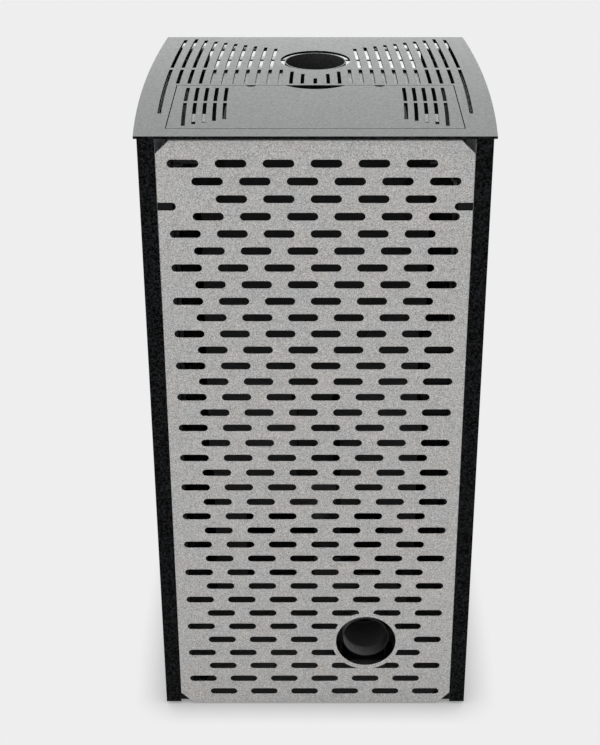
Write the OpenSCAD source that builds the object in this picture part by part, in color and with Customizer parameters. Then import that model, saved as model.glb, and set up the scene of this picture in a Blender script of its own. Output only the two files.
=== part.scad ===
// Pellet stove: a bowed steel cabinet with a rear hopper, a glazed fire door and a slotted rear panel.
// Millimetres, +Z up, the fire door faces -Y, origin on the floor under the middle of the stove.
// Distances named v run forward from the cabinet's rear face, distances named z run up from the floor.

/* [Cabinet] */
// Height of the top plate's upper face
stove_h = 1050; // [1044:1:1090]
// Width of the top plate at the middle of its bowed sides
plate_w = 553; // [549:1:575]
// Depth of the top plate
plate_d = 551; // [549:1:556]
// Thickness of the top plate
plate_t = 4; // [3:0.5:5]
// Radius of the bow of the sides in plan
bow_r = 3270; // [3000:10:4000]
// How far the widest place lies behind the middle
bow_back = 33.5; // [20:0.5:36]
// How far the top plate reaches past the rear and the front
plate_over = 4; // [2:0.5:5]
// How far the top plate reaches past the side panels
side_over = 5; // [4:0.25:5.5]
// Sheet of the side panels, fascia and lower front panel
sheet = 2; // [1.5:0.25:2.5]
// Gap between the side panels and the floor
side_gap = 6; // [3:1:9]
// Width of the side panels' returns at the rear
rear_return = 26; // [24:0.5:28]
// Width of the side panels' returns at the front
front_return = 9; // [8:0.5:11]
// Share of the depth that lies behind the fire box
rear_share = 0.5525; // [0.548:0.0005:0.555]
// Depth of the lip bent down along the top plate's front edge
lip_h = 10; // [6:1:11]
// Gap left round loose covers
cover_gap = 0.5; // [0.3:0.1:0.8]
// Clearance of pieces that move past each other
fit_gap = 0.3; // [0.2:0.05:0.4]
// Radial running clearance of pins and shafts
run_gap = 0.05; // [0.02:0.01:0.08]

/* [Feet and frame] */
// How far the feet stand inside the uprights
foot_in = 14; // [10:1:30]
// Distance of the rear feet from the rear face
foot_rear = 60; // [50:2:80]
// Distance of the front feet from the front face
foot_front = 63; // [54:1:90]
// Diameter of the feet
foot_disc_d = 36; // [30:1:44]
// Thickness of the feet
foot_disc_h = 5; // [4:0.5:6]
// Sheet of the base tray
tray_t = 2.5; // [2:0.25:3]
// Sheet of the uprights and the side rails
frame_wall = 2; // [1.5:0.25:3]
// Height of the side rails
rail_h = 15; // [12:1:18]

/* [Top grille] */
// Width of the slots
slot_w = 6; // [4:0.5:8]
// Spacing of the slots of the top plate
slot_pitch = 18.3; // [18:0.1:18.6]
// Extra distance of the slots from the centre line
slot_shift = 3; // [2:0.1:3.5]
// Plain margin beside the outermost slots
slot_edge = 33; // [31:1:36]
// Plain strip between the lid and the rear row of slots
rear_row_gap = 10; // [8:0.5:14]
// Length of the rear row's slots
rear_row_l = 80; // [70:1:84]
// Plain strip between the two rows
row_gap = 11; // [8:0.5:14]
// Plain margin before the longest slots of the front row
front_edge = 10.6; // [10:0.2:16]
// How much further each next slot of the front row reaches
front_row_step = 7.7; // [6.5:0.1:8.5]
// Where the slots beside the lid start
beside_start = 105; // [90:1:120]
// Plain margin before the slots beside the lid
beside_edge = 15.5; // [12:0.5:24]
// Diameter of the round hole for the flue pipe
flue_hole_d = 118; // [112:1:119]
// How far the flue pipe stands behind the middle of the fire box
flue_back = 4.5; // [3:0.5:6]

/* [Hopper lid] */
// Plain strip of the top plate beside the lid, at its widest place
lid_side = 54.5; // [52:0.5:57]
// Distance of the lid's rear edge from the rear face
lid_rear = 33; // [31:1:34]
// Distance of the lid's front edge from the fire box
lid_to_fire = 48; // [46:0.5:50]
// Gap round the lid
lid_gap = 1.6; // [1.4:0.1:2]
// Spacing of the lid's slots
lid_slot_pitch = 15.5; // [15:0.1:15.6]
// Distance of the lid's outermost slots from its side
lid_slot_edge = 18.5; // [17:0.5:20]
// Columns of slots on each side of the lid
lid_slot_count = 5; // [3:1:5]
// Plain margin of the lid before its front slots
lid_fore_edge = 13; // [12:0.5:20]
// Length of the lid's front slots
lid_fore_l = 71; // [60:1:74]
// Bar between the lid's front and rear slots
lid_bar = 9; // [6:0.5:12]
// Plain margin of the lid behind its outermost slots
lid_aft_edge = 12; // [10:0.5:16]
// How much later each next rear slot starts
lid_row_step = 8; // [6:1:9]
// Half the chord of the finger notch
notch_half = 48; // [40:1:52]
// Depth of the finger notch
notch_d = 20; // [16:1:22]
// Distance of the hinge axis from the rear face
hinge_v = 73; // [72:0.5:74]
// Distance of the hinge axis below the top
hinge_drop = 13; // [12.5:0.5:14]
// Diameter of the lid's hinge pins
hinge_pin_d = 6; // [5:0.5:7]

/* [Rear panel] */
// Sheet of the rear panel
panel_t = 1.5; // [1:0.25:1.5]
// Distance of the panel's upper edge below the top
panel_top = 8; // [7:0.5:10]
// Gap between the rear panel and the floor
panel_gap = 4; // [3:1:8]
// Cut of the upper corners
panel_cut_top = 20.5; // [18:0.5:24]
// Cut of the lower corners
panel_cut_low = 21; // [18:0.5:24]
// Length of a slot over its round ends
vent_l = 47; // [40:1:50]
// Width of a slot
vent_w = 13; // [10:0.5:14]
// Slots in a row
vent_columns = 6; // [4:1:7]
// Distance of the first slot of the odd rows from the panel's side
vent_edge = 40; // [36:0.5:44]
// Distance of the last slot of the even rows from the panel's side
vent_far_edge = 42.5; // [36:0.5:46]
// Spacing of the rows
vent_row = 27.95; // [26:0.05:32]
// Distance of the first row below the top
vent_first = 43.8; // [40:0.1:50]
// Distance of the edge notches below the top
edge_notch = 111.5; // [108:0.5:114]
// Diameter of the hole for the air inlet
inlet_hole_d = 103.5; // [96:0.5:106]
// Plain ring left round that hole
inlet_ring = 7; // [5:0.5:12]

/* [Air supply] */
// Outer diameter of the air inlet tube
inlet_d = 80; // [78:1:82]
// Place of the air inlet from the centre line
inlet_x = -87.5; // [-90:0.5:-84]
// Height of the air inlet's axis
inlet_z = 136; // [130:1:142]
// How far the tube's mouth lies inside the rear face
inlet_in = 13; // [8:1:20]
// Wall of the air ducts and of the fan housing
duct_wall = 2.5; // [2:0.25:3]
// Distance of the fan housing from the rear face
fan_v = 105; // [103:1:107]
// Depth of the fan housing
fan_d = 60; // [58:1:62]
// Radius of the fan housing where its scroll starts
scroll_r = 68; // [66:1:70]
// Growth of the scroll's radius up to its outlet
scroll_grow = 22; // [18:1:24]
// Outer radius of the impeller
impeller_r = 60; // [54:1:62]
// Blades of the impeller
impeller_blades = 24; // [12:1:32]

/* [Fire box] */
// Height of the fire box's underside
firebox_z = 340; // [338:1:344]
// Space beside the fire box, at the cabinet's widest place
firebox_side = 81.5; // [79:0.5:83]
// Space between the fire box and the top
firebox_drop = 78; // [74:1:82]
// Wall of the fire box
firebox_wall = 4; // [3:0.5:5]
// Thickness of the lining plates
lining_t = 12; // [8:1:14]
// Outer diameter of the flue collar
flue_d = 104; // [100:1:105]
// How far the flue collar ends below the top
flue_drop = 2; // [1:0.5:4]
// Width of the burn pot
pot_w = 92; // [86:1:94]
// Height of the burn pot below its rim
pot_h = 32; // [28:1:34]

/* [Fire door] */
// Gap between the door and the side panels
door_side = 5; // [4:0.5:6]
// Thickness of the door's front plate
door_t = 5; // [4:0.5:6]
// Width of the door's frame beside the window
window_side = 88; // [87:1:100]
// Height of the door's frame above and below the window
window_edge = 47; // [46:1:60]
// Thickness of the glass
glass_t = 4; // [3:0.5:5]
// Distance of the door's hinge axis from its side
pivot_in = 13; // [12:0.5:14]
// Diameter of the hinge pins
pivot_d = 8; // [7:0.5:9]
// Distance of the handle's axis from the door's side
latch_in = 17; // [16:0.5:19]
// How far the handle stands out from the door
handle_out = 33; // [32:1:40]
// Length of the handle's grip
grip_l = 125; // [90:5:150]
// Angle between the released and the locked handle
latch_turn = 70; // [60:1:80]

/* [Pellet feed] */
// Space between the hopper's mouth and the lid's side
hopper_side = 85; // [83:1:92]
// Distance of the hopper's mouth from the rear face
hopper_v = 84; // [84:1:88]
// Distance of the hopper's mouth from the fire box
hopper_to_fire = 72; // [68:1:80]
// Wall of the hopper
hopper_wall = 1.5; // [1:0.25:2]
// Outer radius of the auger tube
auger_r = 32; // [31:0.5:33]
// Pitch of the auger
auger_pitch = 40; // [30:1:50]
// Distance of the auger tube's upper end from the fire box
auger_to_fire = 41.8; // [40:0.2:45]
// Distance of the auger's lower end from the rear face
auger_v = 85; // [84:0.5:86]
// Height of the auger's lower end
auger_z = 405; // [402:1:407]
// Width of the pellet chute
chute_w = 60; // [56:1:62]

/* [Controls] */
// Width of the control panel
control_w = 170; // [160:1:200]
// Height of the control panel
control_h = 32; // [30:1:34]
// Diameter of the push buttons
button_d = 11; // [9:0.5:13]
// Travel of the push buttons
button_travel = 1.5; // [1:0.1:2]
// Place of the first push button from the centre line
button_first = 20; // [16:1:21]
// Spacing of the push buttons
button_pitch = 17; // [15:0.5:17]

/* [Hidden] */
$fn = 48;
bow_fn = 720;
paint = [0.08, 0.08, 0.085];
plate_paint = [0.36, 0.365, 0.36];
galvanised = [0.65, 0.64, 0.63];
raw_steel = [0.22, 0.22, 0.23];
lining = [0.62, 0.56, 0.46];

// Levels
top_z = stove_h;
plate_z = top_z - plate_t;
foot_nut_h = 4.5;
tray_z = foot_disc_h + foot_nut_h;
tray_top = tray_z + tray_t;

// Depths, measured forward from the rear face
front_v = plate_d - 2 * plate_over;
bow_mid = front_v / 2 - bow_back;
front_most = front_v + handle_out;
rear_y = (front_most - plate_over) / 2;
door_space = 36;
front_plate_v = front_v - door_space;
front_plate_t = 4;
front_plate_face = front_plate_v + front_plate_t;
firebox_v = round(rear_share * front_v);
fire_mid = (firebox_v + front_plate_v) / 2;
flue_v = fire_mid - flue_back;
pot_v = fire_mid;
lid_w = plate_w - 2 * lid_side;
lid_span = [lid_rear, firebox_v - lid_to_fire];
fan_span = [fan_v, fan_v + fan_d];
hopper_w = lid_w - 2 * hopper_side;
hopper_span = [hopper_v, firebox_v - hopper_to_fire];
auger_l = round((firebox_v - auger_to_fire - auger_v) * sqrt(2));
auger_foot = [auger_v, auger_z];
firebox_w = plate_w - 2 * firebox_side;
firebox_h = stove_h - firebox_drop - firebox_z;

// Half width of the bowed outline at distance v, set in from the top plate's edge
function half_at(v, inset) = sqrt(pow(bow_r - inset, 2) - pow(v - bow_mid, 2)) - (bow_r - plate_w / 2);
function fwd(v) = rear_y - v;
rear_open_half = round(half_at(0, side_over) - rear_return);
front_open_half = round(half_at(front_v, side_over) - front_return);

// A box given by its ranges in x, in distance from the rear face, and in height
module slab(x, v, z) {
    translate([x[0], fwd(v[1]), z[0]])
        cube([x[1] - x[0], v[1] - v[0], z[1] - z[0]]);
}

// A box on both sides of the centre line
module twin(x, v, z) {
    slab(x, v, z);
    slab([-x[1], -x[0]], v, z);
}

module both_sides() {
    children();
    mirror([1, 0, 0]) children();
}

// The cabinet's outline in plan, between two distances from the rear face
module bowed(inset, v0, v1) {
    intersection() {
        translate([plate_w / 2 - bow_r, fwd(bow_mid)]) circle(r = bow_r - inset, $fn = bow_fn);
        translate([bow_r - plate_w / 2, fwd(bow_mid)]) circle(r = bow_r - inset, $fn = bow_fn);
        translate([-plate_w, fwd(v1)]) square([2 * plate_w, v1 - v0]);
    }
}

// A cylinder along Y, its rear end at distance v0
module along_y(x, z, v0, v1, r) {
    translate([x, fwd(v0), z]) rotate([90, 0, 0]) cylinder(h = v1 - v0, r = r);
}

// A flat piece drawn as seen from the front, from distance v0 to v1
module upright_sheet(v0, v1) {
    translate([0, fwd(v0), 0]) rotate([90, 0, 0]) linear_extrude(v1 - v0) children();
}

// Base and frame

tray_inset = side_over + sheet + fit_gap;
foot_spots = [foot_rear, front_v - foot_front];
foot_nut_r = 7.5;
stud_nut_h = 5;
stud_over = 14;
stud_r = 4;
tray_flange_h = 26;
tray_flange_in = 6;
tray_corner = 4;
upright_z = tray_top;
rear_upright_in = 23;
rear_upright_w = 42;
front_upright_w = 30;
upright_d = 22;
rear_upright_x = [rear_open_half - rear_upright_in, rear_open_half - rear_upright_in + rear_upright_w];
rear_upright_v = [sheet, sheet + upright_d];
front_upright_x = [front_open_half - front_upright_w, front_open_half];
front_upright_v = [front_plate_v - upright_d, front_plate_v];
foot_x = rear_upright_x[0] - foot_in;
rail_in = 9;
rail_w = 30;
rail_x = [rear_upright_x[0] - rail_in, rear_upright_x[0] - rail_in + rail_w];
rail_top = top_z - 65;
rear_upright_top = top_z - 40;
firebox_front_top = top_z - 60;
front_plate_z = firebox_z - 4;

module base_tray() {
    rear_end = rear_upright_x[0] - tray_flange_in;
    front_end = front_half - return_t - cover_gap;
    color(raw_steel)
    difference() {
        union() {
            translate([0, 0, tray_z]) linear_extrude(tray_t) bowed(tray_inset, sheet, front_v - sheet);
            slab([-rear_end, rear_end], [sheet, sheet + tray_t], [tray_z, tray_z + tray_flange_h]);
            slab([-front_end, front_end], [front_v - sheet - tray_t, front_v - sheet],
                [tray_z, tray_z + tray_flange_h]);
            translate([0, 0, tray_z]) linear_extrude(tray_flange_h)
                difference() {
                    bowed(tray_inset, rear_upright_v[1] + tray_corner, front_upright_v[0] - tray_corner);
                    bowed(tray_inset + tray_t, 0, front_v);
                }
        }
        for (sx = [-1, 1])
            for (v = foot_spots)
                translate([sx * foot_x, fwd(v), tray_z - 1]) cylinder(h = tray_t + 2, r = stud_r + cover_gap);
    }
}

// Discs on threaded studs, each with a nut under the tray and one on it
module levelling_feet() {
    color("dimgray")
    for (sx = [-1, 1])
        for (v = foot_spots)
            translate([sx * foot_x, fwd(v), 0]) {
                cylinder(h = foot_disc_h, d = foot_disc_d);
                translate([0, 0, foot_disc_h]) cylinder(h = foot_nut_h, r = foot_nut_r, $fn = 6);
                translate([0, 0, tray_top]) cylinder(h = stud_nut_h, r = foot_nut_r, $fn = 6);
                cylinder(h = tray_top + stud_over, r = stud_r);
            }
}

// A channel standing on the tray, open towards the front
module channel(x, v, z) {
    difference() {
        twin(x, v, z);
        twin([x[0] + frame_wall, x[1] - frame_wall], [v[0] + frame_wall, v[1] + 1], [z[0] - 1, z[1] + 1]);
    }
}

module rear_uprights() {
    color(raw_steel) channel(rear_upright_x, rear_upright_v, [upright_z, rear_upright_top]);
}

module front_uprights() {
    color(raw_steel)
    difference() {
        twin(front_upright_x, front_upright_v, [upright_z, firebox_front_top]);
        twin([front_upright_x[0] + frame_wall, front_upright_x[1] - frame_wall],
            [front_upright_v[0] - 1, front_upright_v[1] - frame_wall], [upright_z - 1, firebox_front_top + 1]);
    }
}

// Box tubes from the rear uprights to the front ones, under the hopper's wings
module side_rails() {
    z = [rail_top - rail_h, rail_top];
    v = [rear_upright_v[1], front_upright_v[0]];
    color(raw_steel)
    difference() {
        twin(rail_x, v, z);
        twin([rail_x[0] + frame_wall, rail_x[1] - frame_wall], [v[0] - 1, v[1] + 1],
            [z[0] + frame_wall, z[1] - frame_wall]);
    }
}

// Panels of the cabinet

top_return = 14;

// The right side panel: bowed skin, rear return, front return and top return
module side_panel() {
    half = [plate_w, front_v];
    translate([0, 0, side_gap]) linear_extrude(plate_z - side_gap)
        intersection() {
            translate([0, fwd(front_v)]) square(half);
            union() {
                difference() {
                    bowed(side_over, 0, front_v);
                    bowed(side_over + sheet, -1, front_v + 1);
                }
                intersection() {
                    bowed(side_over, 0, sheet);
                    translate([rear_open_half, fwd(sheet)]) square([plate_w, sheet]);
                }
                intersection() {
                    bowed(side_over, front_v - sheet, front_v);
                    translate([front_open_half, fwd(front_v)]) square([plate_w, sheet]);
                }
            }
        }
    translate([0, 0, plate_z - sheet]) linear_extrude(sheet)
        intersection() {
            translate([0, fwd(front_v)]) square(half);
            difference() {
                bowed(side_over, 0, front_v);
                bowed(side_over + top_return, -1, front_v + 1);
            }
        }
}

module right_side_panel() {
    color(paint) side_panel();
}

module left_side_panel() {
    color(paint) mirror([1, 0, 0]) side_panel();
}

panel_half = rear_open_half - cover_gap;
panel_top_z = top_z - panel_top;
inlet_clear_r = inlet_hole_d / 2 + inlet_ring;
vent_end = 14;
vent_rows = floor((top_z - vent_first - panel_gap - vent_end) / vent_row) + 1;
vent_pitch = (2 * panel_half - vent_edge - vent_far_edge) / (vent_columns - 0.5);
notch_in = panel_half - 21;
panel_flange = 10;

// A slot with round ends, centred
module vent() {
    square([vent_l - vent_w, vent_w], center = true);
    for (sx = [-1, 1])
        translate([sx * (vent_l - vent_w) / 2, 0]) circle(d = vent_w, $fn = 32);
}

// Slots in staggered rows; the third row starts with its second slot
module vents() {
    for (row = [0:vent_rows - 1])
        for (k = [(row == 2) ? 1 : 0:vent_columns - 1]) {
            x = panel_half - vent_edge - vent_pitch * (k + (row % 2) / 2);
            z = top_z - vent_first - vent_row * row;
            near = norm([x - inlet_x, z - inlet_z]) < inlet_clear_r + vent_l / 2;
            if (near)
                difference() {
                    translate([x, z]) vent();
                    translate([inlet_x, inlet_z]) circle(r = inlet_clear_r);
                }
            else
                translate([x, z]) vent();
        }
}

// Open notches in the panel's sides, which hook over tabs
module edge_notches() {
    for (sx = [-1, 1]) {
        translate([sx * panel_half, top_z - edge_notch])
            square([2 * (panel_half - notch_in), vent_w], center = true);
        translate([sx * notch_in, top_z - edge_notch]) circle(d = vent_w, $fn = 32);
    }
}

module rear_panel() {
    hi = panel_top_z;
    lo = panel_gap;
    up = panel_cut_top;
    dn = panel_cut_low;
    color(galvanised)
    union() {
        upright_sheet(sheet - panel_t, sheet)
            difference() {
                polygon([
                    [-panel_half, lo + dn], [-panel_half + dn, lo],
                    [panel_half - dn, lo], [panel_half, lo + dn],
                    [panel_half, hi - up], [panel_half - up, hi],
                    [-panel_half + up, hi], [-panel_half, hi - up]
                ]);
                vents();
                edge_notches();
                translate([inlet_x, inlet_z]) circle(d = inlet_hole_d, $fn = 64);
            }
        slab([-panel_half + up, panel_half - up], [sheet, sheet + panel_flange], [hi - panel_t, hi]);
    }
}

// One slot of the top: a narrow strip that follows the bow of the sides
slot_step = 30;
function bow_in(x, v) = x == 0 ? 0 : half_at(v, 0) - plate_w / 2;
module bowed_slot(x, v0, v1) {
    n = ceil((v1 - v0) / slot_step);
    stations = [for (i = [0:n]) v0 + (v1 - v0) * i / n];
    right = [for (v = stations) [x + bow_in(x, v) + slot_w / 2, fwd(v)]];
    left = [for (i = [n:-1:0]) [x + bow_in(x, stations[i]) - slot_w / 2, fwd(stations[i])]];
    polygon(concat(right, left));
}

function slot_x(k) = k == 0 ? 0 : slot_shift + slot_pitch * k;
slot_count = floor((plate_w / 2 - slot_edge - slot_shift) / slot_pitch);

// The three middle slots of the rear row end short of the round hole
short_gaps = [48, 23, 9];
front_from = 4;
rear_row_start = lid_span[1] + rear_row_gap;
front_row_start = rear_row_start + rear_row_l + row_gap;
function beside_lid(k) = slot_x(k) > lid_w / 2 + lid_gap + slot_w;
function rear_end(k) = k < 3 ? flue_v - flue_hole_d / 2 - short_gaps[k] : rear_row_start + rear_row_l;
function rear_start(k) = beside_lid(k) ? beside_start : rear_row_start;
function front_margin(k) = front_edge + front_row_step * (slot_count - 1 - k);
function front_end(k) = front_v - (beside_lid(k) ? beside_edge : front_margin(k));

module grille_slots() {
    bowed_slot(0, rear_start(0), rear_end(0));
    both_sides() {
        for (k = [1:slot_count])
            bowed_slot(slot_x(k), rear_start(k), rear_end(k));
        for (k = [front_from:slot_count])
            bowed_slot(slot_x(k), front_row_start, front_end(k));
    }
}

module top_plate() {
    color(plate_paint)
    union() {
        translate([0, 0, plate_z]) linear_extrude(plate_t)
            difference() {
                bowed(0, -plate_over, front_v + plate_over);
                grille_slots();
                translate([0, fwd(flue_v)]) circle(d = flue_hole_d, $fn = 96);
                translate([-lid_w / 2 - lid_gap, fwd(lid_span[1] + lid_gap)])
                    square([lid_w + 2 * lid_gap, lid_span[1] - lid_span[0] + 2 * lid_gap]);
            }
        translate([0, 0, top_z - lip_h]) linear_extrude(lip_h - plate_t)
            bowed(0, front_v, front_v + plate_over);
    }
}

// Hopper lid

lid_t = plate_t - fit_gap;
lid_z = top_z - lid_t;
notch_r = (notch_half * notch_half + notch_d * notch_d) / (2 * notch_d);
lid_fore_v = lid_span[1] - lid_fore_edge;
bump_x = 103.5;
bump_r = 8.5;
bump_d = 7;

module lid_slots() {
    both_sides()
        for (k = [0:lid_slot_count - 1]) {
            x = lid_w / 2 - lid_slot_edge - lid_slot_pitch * k;
            bowed_slot(x, lid_fore_v - lid_fore_l, lid_fore_v);
            bowed_slot(x, lid_rear + lid_aft_edge + lid_row_step * k, lid_fore_v - lid_fore_l - lid_bar);
        }
}

module hopper_lid() {
    color(plate_paint)
    translate([0, 0, lid_z]) linear_extrude(lid_t)
        difference() {
            translate([-lid_w / 2, fwd(lid_span[1])]) square([lid_w, lid_span[1] - lid_span[0]]);
            lid_slots();
            translate([0, fwd(lid_span[1]) - notch_r + notch_d]) circle(r = notch_r, $fn = 128);
            for (sx = [-1, 1])
                translate([sx * bump_x, fwd(lid_span[1]) - bump_r + bump_d]) circle(r = bump_r);
        }
}

// Flat frame under the top plate that the lid rests on, open at the notches and behind the hinges
ledge_lap = 10;
ledge_in = lid_w / 2 - ledge_lap;
ledge_out = lid_w / 2 + ledge_lap;
ledge_rear = hinge_v + 2;
ledge_front = [8, 6];
ledge_notch = [3, 12];
module lid_ledge() {
    v = lid_span[1];
    z = [plate_z - sheet, plate_z];
    cut = [z[0] - 1, z[1] + 1];
    open_v = [v - ledge_front[0] - 1, v + 1];
    color(paint)
    difference() {
        slab([-ledge_out, ledge_out], [ledge_rear, v + ledge_front[1]], z);
        slab([-ledge_in, ledge_in], [ledge_rear - 1, v - ledge_front[0]], cut);
        slab([-notch_half - ledge_notch[0], notch_half + ledge_notch[0]], open_v, cut);
        twin([bump_x - ledge_notch[1], bump_x + ledge_notch[1]], open_v, cut);
    }
}

hinge_z = top_z - hinge_drop;
hinge_r = hinge_pin_d / 2;
ear_r = 7.5;
ear_t = 3;
hinge_w = 34.5;
hinge_in = 26.5;
ear_x = [lid_w / 2 - hinge_in - hinge_w, lid_w / 2 - hinge_in - hinge_w + ear_t];
ear_x2 = [lid_w / 2 - hinge_in - ear_t, lid_w / 2 - hinge_in];
strap_from = 3;
strap_l = 38;
strap_v = [hinge_v + strap_from, hinge_v + strap_from + strap_l];
strap_t = 2.5;
strap_hole_r = 6;
pin_over = 1;

// One ear of a lid hinge: a round eye on the pin with a web up to the strap
module hinge_ear(x) {
    difference() {
        union() {
            translate([x[0], fwd(hinge_v), hinge_z]) rotate([0, 90, 0]) cylinder(h = x[1] - x[0], r = ear_r);
            slab(x, [hinge_v - ear_r + 2, strap_v[1]], [hinge_z, lid_z]);
        }
        translate([x[0] - 1, fwd(hinge_v), hinge_z]) rotate([0, 90, 0])
            cylinder(h = x[1] - x[0] + 2, r = hinge_r + run_gap);
        slab([x[0] - 1, x[1] + 1], [hinge_v + ear_r, strap_v[1] + 1], [hinge_z - 10, hinge_z + 2]);
    }
}

// Plates under the lid with an ear on each side of the fixed bracket
module lid_hinge_straps() {
    color(plate_paint)
    both_sides() {
        difference() {
            slab([ear_x[0], ear_x2[1]], strap_v, [lid_z - strap_t, lid_z]);
            translate([(ear_x[1] + ear_x2[0]) / 2, fwd(hinge_v), lid_z - strap_t - 1])
                cylinder(h = strap_t + 2, r = strap_hole_r);
        }
        hinge_ear(ear_x);
        hinge_ear(ear_x2);
    }
}

bracket_t = 6;
bracket_x = (ear_x[1] + ear_x2[0] - bracket_t) / 2;
bracket_eye_r = 5.5;
bracket_base = [4, 12, 3];

// Posts on the side rails that hold the hinge pins
module lid_hinge_brackets() {
    color(paint)
    both_sides()
        difference() {
            union() {
                translate([ear_x[1] + fit_gap, fwd(hinge_v), hinge_z]) rotate([0, 90, 0])
                    cylinder(h = ear_x2[0] - ear_x[1] - 2 * fit_gap, r = bracket_eye_r);
                slab([bracket_x, bracket_x + bracket_t], [hinge_v - 5, hinge_v + 5], [rail_top, hinge_z]);
                slab([bracket_x, rail_x[1] - bracket_base[0]],
                    [hinge_v - bracket_base[1], hinge_v + bracket_base[1]],
                    [rail_top, rail_top + bracket_base[2]]);
            }
            translate([ear_x[1], fwd(hinge_v), hinge_z]) rotate([0, 90, 0])
                cylinder(h = ear_x2[0] - ear_x[1], r = hinge_r);
        }
}

module lid_hinge_pins() {
    color("silver")
    both_sides()
        translate([ear_x[0] - pin_over, fwd(hinge_v), hinge_z]) rotate([0, 90, 0])
            cylinder(h = ear_x2[1] - ear_x[0] + 2 * pin_over, r = hinge_r);
}

// Front of the cabinet

front_half = front_open_half - cover_gap;
door_z = firebox_z + 5.5;
door_gap = 2;
door_h = firebox_h - 34;
door_top = door_z + door_h;
fascia_z = door_top + 3;
lower_top = door_z - 5;
lower_z = 20;
return_t = 2;

// Slats of the air outlet: distance of each upper face below the top
slat_t = 2.8;
slat_first = 15.2;
slat_pitch = 17.8;
slat_d = 21;
slat_count = 3;
top_gap_in = 10.5;
low_gap_in = 59.5;
top_gap_half = front_half - top_gap_in;
low_gap_half = front_half - low_gap_in;
outlet_low = slat_first + slat_pitch * (slat_count - 1) + slat_t;
control_z = fascia_z + 24;
control_lap = 5;
slat_ends = 5;

module upper_fascia() {
    hi = top_z - lip_h;
    color(paint)
    difference() {
        union() {
            slab([-front_half, front_half], [front_v - sheet, front_v], [fascia_z, hi]);
            twin([front_half - return_t, front_half], [front_plate_face, front_v], [fascia_z, hi]);
        }
        slab([-top_gap_half, top_gap_half], [front_v - sheet - 1, front_v + 1], [top_z - slat_first, hi + 1]);
        slab([-low_gap_half, low_gap_half], [front_v - sheet - 1, front_v + 1], [top_z - outlet_low, hi + 1]);
        slab([-control_w / 2 + control_lap, control_w / 2 - control_lap], [front_v - sheet - 1, front_v + 1],
            [control_z - control_h / 2 + control_lap, control_z + control_h / 2 - control_lap]);
    }
}

// Horizontal slats behind the fascia, each with a nose that fills the opening's width
module outlet_slats() {
    color(plate_paint)
    for (i = [0:slat_count - 1]) {
        z = top_z - slat_first - slat_pitch * i;
        nose = low_gap_half - fit_gap;
        long = top_gap_half + slat_ends;
        slab([-long, long], [front_v - sheet - slat_d, front_v - sheet], [z - slat_t, z]);
        slab([-nose, nose], [front_v - sheet - 1, front_v], [z - slat_t, z]);
    }
}

shield_off = 38;
shield_v = firebox_v - shield_off;
shield_gap = 1.5;
shield_top = plate_z - shield_gap;
shield_reach = 100;
shield_h = 179.5;
shield_low = shield_top - shield_h;
wing_edge = [48, 29];
shield_wing = [wing_edge[0], rail_x[0] - wing_edge[1]];

// Upright sheet before the hopper with two wings that turn the warm air forward
module heat_shield() {
    color(plate_paint) {
        slab([-rail_x[0], rail_x[0]], [shield_v, shield_v + sheet], [shield_low, shield_top]);
        twin(shield_wing, [shield_v, shield_v + shield_reach], [shield_top - sheet, shield_top]);
    }
}

firebox_half = firebox_w / 2;
drawer_in = 9;
drawer_half = firebox_half - drawer_in;
drawer_z = firebox_z - 96;
drawer_top = firebox_z - 6;
drawer_gap = 1.5;

module lower_front_panel() {
    color(paint)
    difference() {
        union() {
            slab([-front_half, front_half], [front_v - sheet, front_v], [lower_z, lower_top]);
            twin([front_half - return_t, front_half], [front_plate_v, front_v], [lower_z, front_plate_z]);
        }
        slab([-drawer_half - drawer_gap, drawer_half + drawer_gap], [front_v - sheet - 1, front_v + 1],
            [drawer_z - drawer_gap, drawer_top + drawer_gap]);
    }
}

// Controls

button_x = [for (i = [0:3]) button_first + button_pitch * i];
button_len = 9;
button_out = 1;
button_bore = 8;
control_t = 3;
control_body = 16;
control_inset = control_lap + fit_gap;
window_x = [-70, -6];
window_z = [control_z - 10, control_z + 10];
window_t = 1.5;
module control_panel() {
    color("black")
    difference() {
        union() {
            slab([-control_w / 2, control_w / 2], [front_v, front_v + control_t],
                [control_z - control_h / 2, control_z + control_h / 2]);
            slab([-control_w / 2 + control_inset, control_w / 2 - control_inset],
                [front_v - control_body, front_v],
                [control_z - control_h / 2 + control_inset, control_z + control_h / 2 - control_inset]);
        }
        for (x = button_x)
            along_y(x, control_z, front_v - button_bore, front_v + control_t + 1, button_d / 2 + fit_gap);
        slab(window_x, [front_v + control_t - window_t, front_v + control_t + 1], window_z);
    }
}

module display_window() {
    color([0.05, 0.07, 0.09])
    slab(window_x, [front_v + control_t - window_t, front_v + control_t], window_z);
}

// A round cap that stands out by its travel and a little more
module push_button(x) {
    face = front_v + control_t + button_travel + button_out;
    color("gainsboro")
    along_y(x, control_z, face - button_len, face, button_d / 2);
}

module power_button() {
    push_button(button_x[0]);
}

module menu_button() {
    push_button(button_x[1]);
}

module plus_button() {
    push_button(button_x[2]);
}

module minus_button() {
    push_button(button_x[3]);
}

// Fire box

firebox_top = firebox_z + firebox_h;
floor_z = firebox_z + firebox_wall;
throat_in = 30;
throat_half = firebox_half - throat_in;
throat_z = [firebox_z + 32, firebox_top - 57];
flue_r = flue_d / 2;
flue_wall = 2;

// The auger's axis leans forward at 45 degrees from its foot
module on_auger() {
    translate([0, fwd(auger_foot[0]), auger_foot[1]]) rotate([45, 0, 0]) children();
}

chute_s = auger_l - chute_w / 2 + 5;
chute_end = 130;
chute_wall = 2;
chute_flange = 12;
module chute_box(grow) {
    w = chute_w + 2 * grow;
    on_auger() translate([-w / 2, -chute_end - grow, chute_s - w / 2]) cube([w, chute_end + grow, w]);
}

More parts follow.
